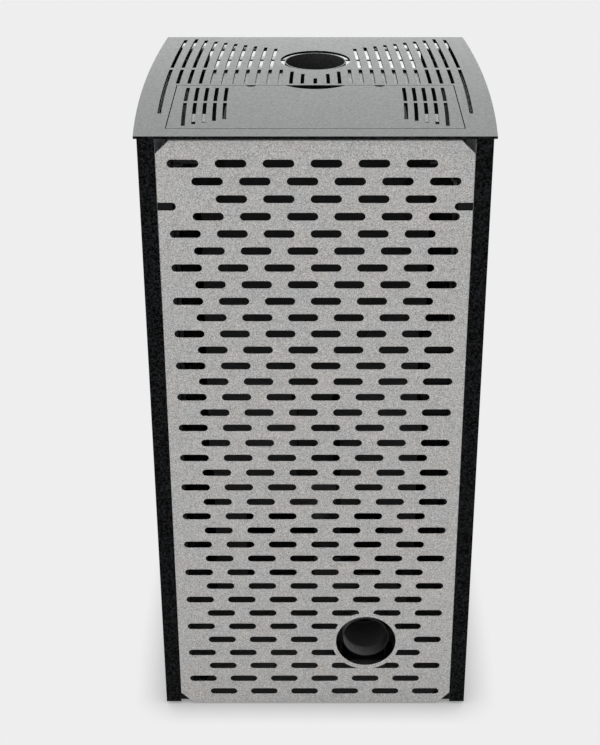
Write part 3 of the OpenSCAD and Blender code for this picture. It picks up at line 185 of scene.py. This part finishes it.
def fine_texture_paint(name, face, up=None, inner=None, inward=1):
    """Textured stove paint. Faces that look up or inward have their own colour, which carries painted light;
    lower down inside, the inward colour is darkened as painted shade.
    """
    f = Finish(name)
    grit = f.part(0, f.cells(430))
    beads = f.noise(620, 3, 0.7)
    broad = f.noise(9, 3)
    colour = face
    lift = 1 + (grit - 0.5) * PAINT_GRIT + (beads - 0.5) * PAINT_BEADS + (broad - 0.5) * 0.1
    calm = 1 + (grit - 0.5) * 0.3 + (beads - 0.5) * 0.6 + (broad - 0.5) * 0.05
    # Painted shade: the inward colour darkens lower down inside the cabinet.
    painted_shade_low = f.part(2).above(PAINTED_SHADE_BELOW, 0.1) * 0.85 + 0.15
    looks_in = (f.part(0, f.facing) * -inward).above(0.5, 0.2)
    # The up and inward colours stand in for light falling on those faces: painted light.
    for light, mask, painted_dimming in ((inner, looks_in, painted_shade_low), (up, f.looks_up(), 1.0)):
        if light is not None:
            colour = f.mix(mask, colour, f.lit(light, painted_dimming))
            lift = mask * calm + (1 - mask) * lift
    lift = lift.calc("MAXIMUM", lift, 0.1)
    return f.coat(f.lit(colour, lift), 0.08 * f.noise(40) + 0.56,
                  normal=f.bump(beads, 0.3, 0.0003), Specular_IOR_Level=0.02)


SPANGLES = 1200
SPECKS = 1100
SHEET_GRAIN = 1.1


def galvanised_sheet(name, cool, warm, up, patchy=26):
    """Zinc-coated sheet: fine spangles, faint warm and cool patches and rolling marks along X."""
    f = Finish(name)
    spangle = f.part(0, f.cells(SPANGLES))
    speck = f.noise(SPECKS, 2, 0.8)
    rolled = f.noise(1, 3, 0.6, of=f.stretched(9, 9, 260))
    patches = f.noise(patchy, 3, 0.55)
    colour = f.mix(patches.above(0.5, 0.4), cool, warm)
    # Faces that look up get a colour of their own: painted light on their tops.
    colour = f.mix(f.looks_up(), colour, up)
    fine = (spangle - 0.5) * SHEET_GRAIN + (speck - 0.5) * SHEET_GRAIN
    broad = (rolled - 0.5) * 0.2 + (f.noise(7) - 0.5) * 0.05
    return f.coat(f.lit(colour, 1 + fine + broad), 0.1 * spangle + 0.5, metallic=0.15,
                  normal=f.bump(speck, 0.15, 0.0001), Specular_IOR_Level=0.2)


def pipe_with_painted_light(name, node, axis, rim, wall, painted_deep_shade, reach, soft, side):
    """Steel pipe whose rim faces have their own colour as painted light. Its walls are darkened further in
    than reach as painted shade, and lighter or darker towards one side as painted light.
    """
    f = Finish(name)
    low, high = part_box(node)
    middle, half = (low[0] + high[0]) / 2, (high[0] - low[0]) / 2
    grit = f.part(0, f.cells(380))
    # Painted shade: the walls turn darker beyond reach from the mouth.
    depth_for_painted_shade = (f.part(axis) * -1 + high[axis]) / reach
    # Painted light: the walls grow lighter or darker towards one side.
    painted_side_light = 1 + (f.part(0) - middle) * (side / half)
    colour = f.mix(depth_for_painted_shade.above(1, soft), f.lit(wall, painted_side_light), painted_deep_shade)
    # Painted light: the faces of the rim get a colour of their own.
    colour = f.mix(f.part(axis, f.facing).above(0.7, 0.3), colour, rim)
    worked = 0.62 + grit * 0.5 + f.noise(24, 3) * 0.5
    return f.coat(f.lit(colour, worked), 0.2 * grit + 0.5,
                  normal=f.bump(grit, 0.2, 0.0002), Specular_IOR_Level=0.15)


def inner_sheet(name, colour=(0.011, 0.011, 0.0115, 1), gloss=0.02, dust=None):
    """Slightly oily sheet inside the cabinet, very dark by default as painted shade. Dust is its colour on the
    faces that look up.
    """
    f = Finish(name)
    smear = f.noise(14, 4, 0.6)
    if dust:
        colour = f.mix(f.looks_up(), colour, dust)
    return f.coat(f.lit(colour, 0.7 + smear * 0.6), 0.2 * smear + 0.55,
                  normal=f.bump(f.noise(500), 0.1, 0.0002), Specular_IOR_Level=gloss)


def cast_iron(name):
    f = Finish(name)
    sand = f.noise(420, 4, 0.65)
    burnt = f.noise(18, 3)
    colour = f.mix(burnt.above(0.55, 0.2), (0.028, 0.028, 0.03, 1), (0.06, 0.045, 0.036, 1))
    return f.coat(f.lit(colour, 0.7 + sand * 0.6), 0.15 * sand + 0.65, metallic=0.3,
                  normal=f.bump(sand, 0.6, 0.0008))


def lining_board(name):
    """Pressed board of mineral flakes, sooted towards the top of the fire box."""
    f = Finish(name)
    flakes = f.cells(230, output="Distance")
    tint = f.noise(120, 3)
    colour = f.mix(tint.above(0.5, 0.3), shade(150, 130, 98), shade(186, 166, 128))
    soot = (f.part(2) * 2.2 - 1.1 + (f.noise(11, 4) - 0.5) * 1.2).above(0.45, 0.7)
    colour = f.mix(soot * 0.85, f.lit(colour, 0.75 + flakes * 0.8), (0.022, 0.02, 0.018, 1))
    return f.coat(colour, 0.9, normal=f.bump(flakes, 0.5, 0.0006))


def zinc_plate(name, colour=(0.42, 0.43, 0.44, 1), roughness=0.28):
    f = Finish(name)
    spangle = f.noise(160, 2)
    return f.coat(f.lit(colour, 0.8 + spangle * 0.4), 0.2 * spangle + roughness, metallic=0.9,
                  normal=f.bump(spangle, 0.1, 0.0002))


ALONG, ACROSS = 12, 900


def brushed_steel(name, x, y, z):
    """Stainless steel with brush lines that run along one axis."""
    f = Finish(name)
    lines = f.noise(1, 3, 0.65, of=f.stretched(x, y, z))
    return f.coat(f.lit((0.52, 0.52, 0.51, 1), 0.85 + lines * 0.3), 0.22 * lines + 0.2, metallic=1.0,
                  normal=f.bump(lines, 0.12, 0.0001))


def fire_glass(name):
    """Heat-proof glass, a little smoked, with a haze of soot at its edges."""
    f = Finish(name)
    low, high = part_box("door_glass")
    half = [(b - a) / 2 for a, b in zip(low, high)]
    centre = [(a + b) / 2 for a, b in zip(low, high)]
    side = (f.part(0) - centre[0]).size() / half[0]
    rise = (f.part(2) - centre[2]).size() / half[2]
    edge = side.calc("MAXIMUM", side, rise)
    haze = (edge + (f.noise(13, 4, 0.6) - 0.5) * 0.35).above(0.93, 0.35)
    return f.coat(f.mix(haze, (0.012, 0.011, 0.01, 1), (0.05, 0.038, 0.028, 1)), 0.05 + haze * 0.4,
                  Alpha=0.42 + haze * 0.4)


STRANDS = 1100


def woven_rope(name, colour=(0.46, 0.44, 0.4, 1)):
    """Glass-fibre rope with strands that wind round it both ways."""
    f = Finish(name)
    strand = ((f.part(0) + f.part(2)) * STRANDS).sine() * 0.5 + 0.5
    cross = ((f.part(0) - f.part(2)) * STRANDS).sine() * 0.5 + 0.5
    weave = strand * cross
    fuzz = f.noise(600, 3)
    return f.coat(f.lit(colour, 0.55 + weave * 0.45 + (fuzz - 0.5) * 0.5), 0.95,
                  normal=f.bump(weave + fuzz * 0.3, 0.7, 0.0006))


def soft_rubber(name):
    f = Finish(name)
    dust = f.noise(60, 3)
    return f.coat(f.lit((0.02, 0.02, 0.021, 1), 0.7 + dust * 0.6), 0.1 * dust + 0.75,
                  normal=f.bump(f.noise(900), 0.2, 0.0002))


def moulded_plastic(name, colour, roughness=0.45):
    f = Finish(name)
    skin = f.noise(1400, 2)
    return f.coat(f.lit(colour, 0.94 + f.noise(30) * 0.12), 0.08 * skin + (roughness - 0.04),
                  normal=f.bump(skin, 0.15, 0.0001))


def display_glass(name):
    f = Finish(name)
    return f.coat(f.lit((0.006, 0.008, 0.011, 1), 0.8 + f.noise(20) * 0.4), 0.04 * f.noise(35) + 0.06)


def cast_aluminium(name):
    f = Finish(name)
    skin = f.noise(350, 3)
    # Near black colour: painted shade on the aluminium of the fan housing and impeller, which sit in the dark.
    return f.coat(f.lit((0.024, 0.024, 0.025, 1), 0.8 + skin * 0.4), 0.2 * skin + 0.5, metallic=0.3,
                  normal=f.bump(skin, 0.4, 0.0004))


def fired_ceramic(name):
    f = Finish(name)
    pores = f.noise(700, 3)
    return f.coat(f.lit((0.66, 0.64, 0.6, 1), 0.85 + pores * 0.3), 0.7, normal=f.bump(pores, 0.3, 0.0003))


BLACK = shade(18, 19, 20)
# The plate and lid are black paint; the grey of their up-facing faces is painted light from above.
PAINTED_TOP_LIGHT = shade(147, 149, 148)
# Bare zinc on the side panels' inward faces, made near white so that they show lit in the shade inside: partly
# the sheet's own zinc, partly painted light.
BARE_ZINC_WITH_PAINTED_LIGHT = shade(248, 249, 250)
BACKGROUND = shade(238, 238, 238)

finishes = {
    "plate": fine_texture_paint("Fine texture paint, plate", BLACK, up=PAINTED_TOP_LIGHT),
    "cabinet": fine_texture_paint("Fine texture paint, cabinet", BLACK),
    "left side": fine_texture_paint("Fine texture paint, left side", BLACK, inner=BARE_ZINC_WITH_PAINTED_LIGHT, inward=-1),
    "right side": fine_texture_paint("Fine texture paint, right side", BLACK, inner=BARE_ZINC_WITH_PAINTED_LIGHT, inward=1),
    # Rear panel: the near-white up colour is a painted highlight along its top edge.
    "galvanised": galvanised_sheet("Galvanised sheet", cool=shade(175, 176, 176), warm=shade(180, 177, 174),
                                   up=shade(245, 245, 244)),
    # Heat shield and hinge straps: the dark tone of their sides is painted shade, the light tone of their up
    # faces painted light.
    "shielding": galvanised_sheet("Galvanised shielding", cool=shade(48, 49, 50), warm=shade(54, 54, 52),
                                  up=shade(176, 177, 176), patchy=12),
    "flue pipe": pipe_with_painted_light("Flue pipe steel", "flue_collar", axis=2, rim=shade(128, 129, 130),
                             wall=(0.03, 0.03, 0.031, 1), painted_deep_shade=(0.02, 0.02, 0.02, 1),
                             reach=0.08, soft=0.9, side=-0.4),
    "inlet pipe": pipe_with_painted_light("Inlet pipe steel", "air_inlet_tube", axis=1, rim=shade(32, 33, 34),
                              wall=(0.105, 0.105, 0.108, 1), painted_deep_shade=(0.045, 0.045, 0.046, 1),
                              reach=0.0235, soft=0.15, side=0.95),
    # Parts inside the cabinet take the dark default: painted shade.
    "inner": inner_sheet("Inner sheet"),
    "iron": cast_iron("Cast iron"),
    "lining": lining_board("Lining board"),
    "zinc": zinc_plate("Zinc plate"),
    # Outlet slats: zinc, brightened above the zinc plate as painted light so their tops show lit through the
    # slots.
    "zinc with painted light": zinc_plate("Zinc plate, brightened as painted light", (0.56, 0.57, 0.57, 1), 0.12),
    "handle": brushed_steel("Brushed steel, handle", ACROSS, ACROSS, ALONG),
    "pull": brushed_steel("Brushed steel, pull", ALONG, ACROSS, ACROSS),
    "glass": fire_glass("Fire glass"),
    "rope": woven_rope("Woven rope"),
    "tape": woven_rope("Woven tape", (0.05, 0.05, 0.05, 1)),
    "rubber": soft_rubber("Soft rubber"),
    "plastic": moulded_plastic("Black plastic", (0.014, 0.014, 0.015, 1)),
    "button": moulded_plastic("Grey button plastic", (0.42, 0.42, 0.42, 1), 0.4),
    "mark": moulded_plastic("Dark mark", (0.02, 0.02, 0.02, 1), 0.5),
    "display": display_glass("Display glass"),
    "aluminium": cast_aluminium("Cast aluminium"),
    "motor": inner_sheet("Motor steel", (0.045, 0.045, 0.048, 1), 0.3),
    # Hopper, auger tube and air duct: zinc sheet darkened far below its own tone, as painted shade inside the
    # cabinet.
    "shaded zinc": inner_sheet("Zinc sheet, painted shade", (0.026, 0.026, 0.027, 1), 0.05),
    "tray steel": inner_sheet("Tray steel", dust=(0.14, 0.14, 0.142, 1)),
    "frame steel": inner_sheet("Frame steel", (0.1, 0.1, 0.103, 1), 0.05),
    "ceramic": fired_ceramic("Fired ceramic"),
}

wears = {
    "plate": "top_plate hopper_lid",
    "shielding": "lid_hinge_straps heat_shield",
    "zinc with painted light": "outlet_slats",
    "flue pipe": "flue_collar",
    "inlet pipe": "air_inlet_tube",
    "cabinet": "upper_fascia lower_front_panel lid_ledge door_frame ash_drawer",
    "left side": "left_side_panel",
    "right side": "right_side_panel",
    "galvanised": "rear_panel",
    "inner": "rear_uprights firebox_front door_pivot_plates latch_keeper pellet_chute burn_pot_seat "
             "control_box",
    "shaded zinc": "pellet_hopper auger_tube air_duct",
    "tray steel": "base_tray",
    "frame steel": "firebox_shell firebox_stand front_uprights side_rails lid_hinge_brackets",
    "iron": "burn_pot",
    "lining": "fireback_lining side_linings baffle_plate",
    "zinc": "lid_hinge_pins door_pivot_pins glass_clips latch_tongue auger_shaft auger_flight hopper_grid",
    "handle": "door_handle",
    "pull": "drawer_pull",
    "glass": "door_glass",
    "rope": "door_gasket",
    "tape": "glass_gasket",
    "rubber": "hopper_seal levelling_feet",
    "plastic": "control_panel",
    "display": "display_window",
    "button": "power_button menu_button plus_button minus_button",
    "aluminium": "fan_housing fan_impeller",
    "motor": "fan_motor auger_motor",
    "ceramic": "igniter",
}


def dress(obj, finish):
    """Gives every material slot of a piece the same finish."""
    if not obj.material_slots:
        obj.data.materials.append(finishes[finish])
    for place in obj.material_slots:
        place.material = finishes[finish]


for finish, worn_by in wears.items():
    for name in worn_by.split():
        dress(nodes[name], finish)


# Modelling

def select_none():
    bpy.ops.object.select_all(action="DESELECT")


def start(name):
    """Gives the piece that was just added its name."""
    obj = bpy.context.object
    obj.name = name
    obj.data.name = name
    return obj


def choose(obj, test):
    """In edit mode, selects the vertices whose place passes the test."""
    bpy.ops.mesh.select_mode(type="VERT")
    bpy.ops.mesh.select_all(action="DESELECT")
    mesh = bmesh.from_edit_mesh(obj.data)
    for vert in mesh.verts:
        vert.select = test(vert.co)
    mesh.select_flush(True)
    bmesh.update_edit_mesh(obj.data)


def settle(obj, finish, body, smooth=40):
    """Puts the piece's place in its mesh, finishes it and gives it to a body."""
    if bpy.context.mode != "OBJECT":
        bpy.ops.object.mode_set(mode="OBJECT")
    select_none()
    obj.select_set(True)
    bpy.context.view_layer.objects.active = obj
    bpy.ops.object.transform_apply(location=True, rotation=True, scale=True)
    bpy.ops.object.shade_smooth_by_angle(angle=math.radians(smooth))
    dress(obj, finish)
    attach(obj, body)
    select_none()


RING_PARTS = 48
HALF_PART = math.radians(360 / RING_PARTS / 2)


def gasket(name, node, corner, half_width, finish):
    """A woven gasket: a torus whose four quarters are pulled apart into a rounded rectangle.

    It is turned by half a part first, so that no vertex lies between two quarters.
    """
    low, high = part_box(node)
    cx, cz = (low[0] + high[0]) / 2, (low[2] + high[2]) / 2
    half_x = (high[0] - low[0]) / 2 - half_width - corner
    half_z = (high[2] - low[2]) / 2 - half_width - corner
    select_none()
    bpy.ops.mesh.primitive_torus_add(
        location=(cx, (low[1] + high[1]) / 2, cz), rotation=(UPRIGHT, HALF_PART, 0),
        major_segments=RING_PARTS, minor_segments=14, major_radius=corner, minor_radius=half_width)
    rope = start(name)
    rope.scale = (1, 1, (high[1] - low[1]) / 2 / half_width)
    bpy.ops.object.transform_apply(location=False, rotation=True, scale=True)
    bpy.ops.object.mode_set(mode="EDIT")
    for sx in (-1, 1):
        for sz in (-1, 1):
            choose(rope, lambda p: p.x * sx > 0 and p.z * sz > 0)
            bpy.ops.transform.translate(value=(sx * half_x, 0, sz * half_z))
    bpy.ops.object.mode_set(mode="OBJECT")
    settle(rope, finish, "door", 60)
    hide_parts(node)


def mark_bar(name, low, high, body):
    """A small bar with rounded edges between two corners."""
    select_none()
    bpy.ops.mesh.primitive_cube_add(size=1, location=[(a + b) / 2 for a, b in zip(low, high)],
                                    scale=[b - a for a, b in zip(low, high)])
    obj = start(name)
    bpy.ops.object.transform_apply(location=True, rotation=True, scale=True)
    bpy.ops.object.mode_set(mode="EDIT")
    bpy.ops.mesh.select_all(action="SELECT")
    bpy.ops.mesh.bevel(offset=0.0001, segments=2)
    settle(obj, "mark", body)


STROKE = 0.0052
STROKE_WIDTH = 0.0009
LIST_STEP = 0.0018
MARK_RAISED = 0.00025
MARK_SUNK = 0.0004

# Each bar of a mark: its middle across and up from the button's, its width and its height.
MARKS = {
    "power": [(0, 0.0014, 0.0007, 0.0026)],
    "menu": [(0, z, 0.0048, 0.0008) for z in (-LIST_STEP, 0, LIST_STEP)],
    "plus": [(0, 0, STROKE, STROKE_WIDTH), (0, 0, STROKE_WIDTH, STROKE)],
    "minus": [(0, 0, STROKE, STROKE_WIDTH)],
}


def power_ring(cx, face, cz):
    """The open ring of the power mark, with a gap at its top and closed ends."""
    select_none()
    bpy.ops.mesh.primitive_torus_add(
        location=(cx, face, cz), rotation=(UPRIGHT, 0, 0),
        major_segments=40, minor_segments=8, major_radius=0.0024, minor_radius=0.00035)
    arc = start("power_mark_ring")
    bpy.ops.object.transform_apply(location=False, rotation=True, scale=True)
    bpy.ops.object.mode_set(mode="EDIT")
    choose(arc, lambda p: p.z > 0.0010 and abs(p.x) < 0.0011)
    bpy.ops.mesh.delete(type="VERT")
    bpy.ops.mesh.select_all(action="SELECT")
    bpy.ops.mesh.region_to_loop()
    bpy.ops.mesh.edge_face_add()
    settle(arc, "mark", "power_key", 60)


def key_marks():
    """Raised marks on the push buttons: power, list, plus and minus."""
    for key, marks in MARKS.items():
        low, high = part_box(key + "_button")
        cx, cz, face = (low[0] + high[0]) / 2, (low[2] + high[2]) / 2, low[1]
        for n, (x, z, w, h) in enumerate(marks):
            mark_bar(f"{key}_mark_{n + 1}", (cx + x - w / 2, face - MARK_RAISED, cz + z - h / 2),
                     (cx + x + w / 2, face + MARK_SUNK, cz + z + h / 2), key + "_key")
        if key == "power":
            power_ring(cx, face, cz)


gasket("door_rope_gasket", "door_gasket", 0.014, 0.004, "rope")
gasket("glass_tape_gasket", "glass_gasket", 0.008, 0.0055, "tape")
key_marks()


# Floor, light and camera

def studio_floor():
    """A plain floor in the background's shade, with a painted contact shadow right where the stove stands."""
    select_none()
    bpy.ops.mesh.primitive_plane_add(size=24, location=(0, 0, 0))
    floor = start("studio_floor")
    f = Finish("Pale floor")
    # Painted shadow: ambient occlusion darkens the floor's glow near the stove.
    painted_contact_shadow = f.add("ShaderNodeAmbientOcclusion", {"samples": 16, "only_local": False},
                 {"Distance": 0.06, "Color": (1, 1, 1, 1)}, "AO")
    seen = f.add("ShaderNodeLightPath", output="Is Camera Ray")
    gloss = f.add("ShaderNodeLightPath", output="Is Glossy Ray")
    clear = f.add("ShaderNodeLightPath", output="Is Transmission Ray")
    glow = f.add("ShaderNodeEmission", None,
                 {"Color": f.mix(painted_contact_shadow, (0.19, 0.19, 0.19, 1), BACKGROUND), "Strength": 1.0})
    matt = f.add("ShaderNodeBsdfDiffuse", None, {"Color": (0.88, 0.88, 0.88, 1)})
    both = f.add("ShaderNodeMixShader", None, {0: (seen + gloss + clear).above(0.5, 0.5), 1: matt, 2: glow})
    f.tree.links.new(both.socket, f.tree.nodes["Material Output"].inputs["Surface"])
    floor.data.materials.append(f.material)


def softbox(name, where, turn, width, power):
    """A square lamp, turned by degrees about X, Y and Z."""
    bpy.ops.object.light_add(type="AREA", location=where, rotation=[math.radians(angle) for angle in turn])
    lamp = bpy.context.object
    lamp.name = name
    lamp.data.shape = "SQUARE"
    lamp.data.size = width
    lamp.data.energy = power
    lamp.select_set(False)


def studio_light():
    world = bpy.data.worlds.new("Pale studio")
    bpy.context.scene.world = world
    world.use_nodes = True
    sky = world.node_tree.nodes["Background"]
    sky.inputs["Color"].default_value = BACKGROUND
    sky.inputs["Strength"].default_value = 1.0
    select_none()
    softbox("overhead_softbox", (0, -0.9, 2.0), (-25, 0, 0), 0.8, 16)
    softbox("rear_softbox", (0.8, 4.2, 1.5), (-78, 0, -10), 2.4, 16)
    softbox("front_softbox", (-1.2, -3.8, 2.0), (68, 0, -18), 2.4, 16)


CAMERA_PLACE = (0, 2.480, 1.7815)
CAMERA_LOOKS_DOWN = 27.08
SENSOR = 36
# In pixels of the picture:
PICTURE_HEIGHT = 745
FOCAL_LENGTH = 1559.5
SIDE_SHIFT = 15.3


def photo_camera():
    bpy.ops.object.camera_add(location=CAMERA_PLACE,
                              rotation=(math.radians(90 - CAMERA_LOOKS_DOWN), 0, math.radians(180)))
    camera = bpy.context.object
    camera.name = "photo_camera"
    camera.data.sensor_width = SENSOR
    camera.data.lens = SENSOR * FOCAL_LENGTH / PICTURE_HEIGHT
    camera.data.shift_x = -SIDE_SHIFT / PICTURE_HEIGHT
    camera.data.clip_start = 0.05
    bpy.context.scene.camera = camera
    camera.select_set(False)


studio_floor()
studio_light()
photo_camera()
bpy.context.scene.view_settings.view_transform = "Standard"
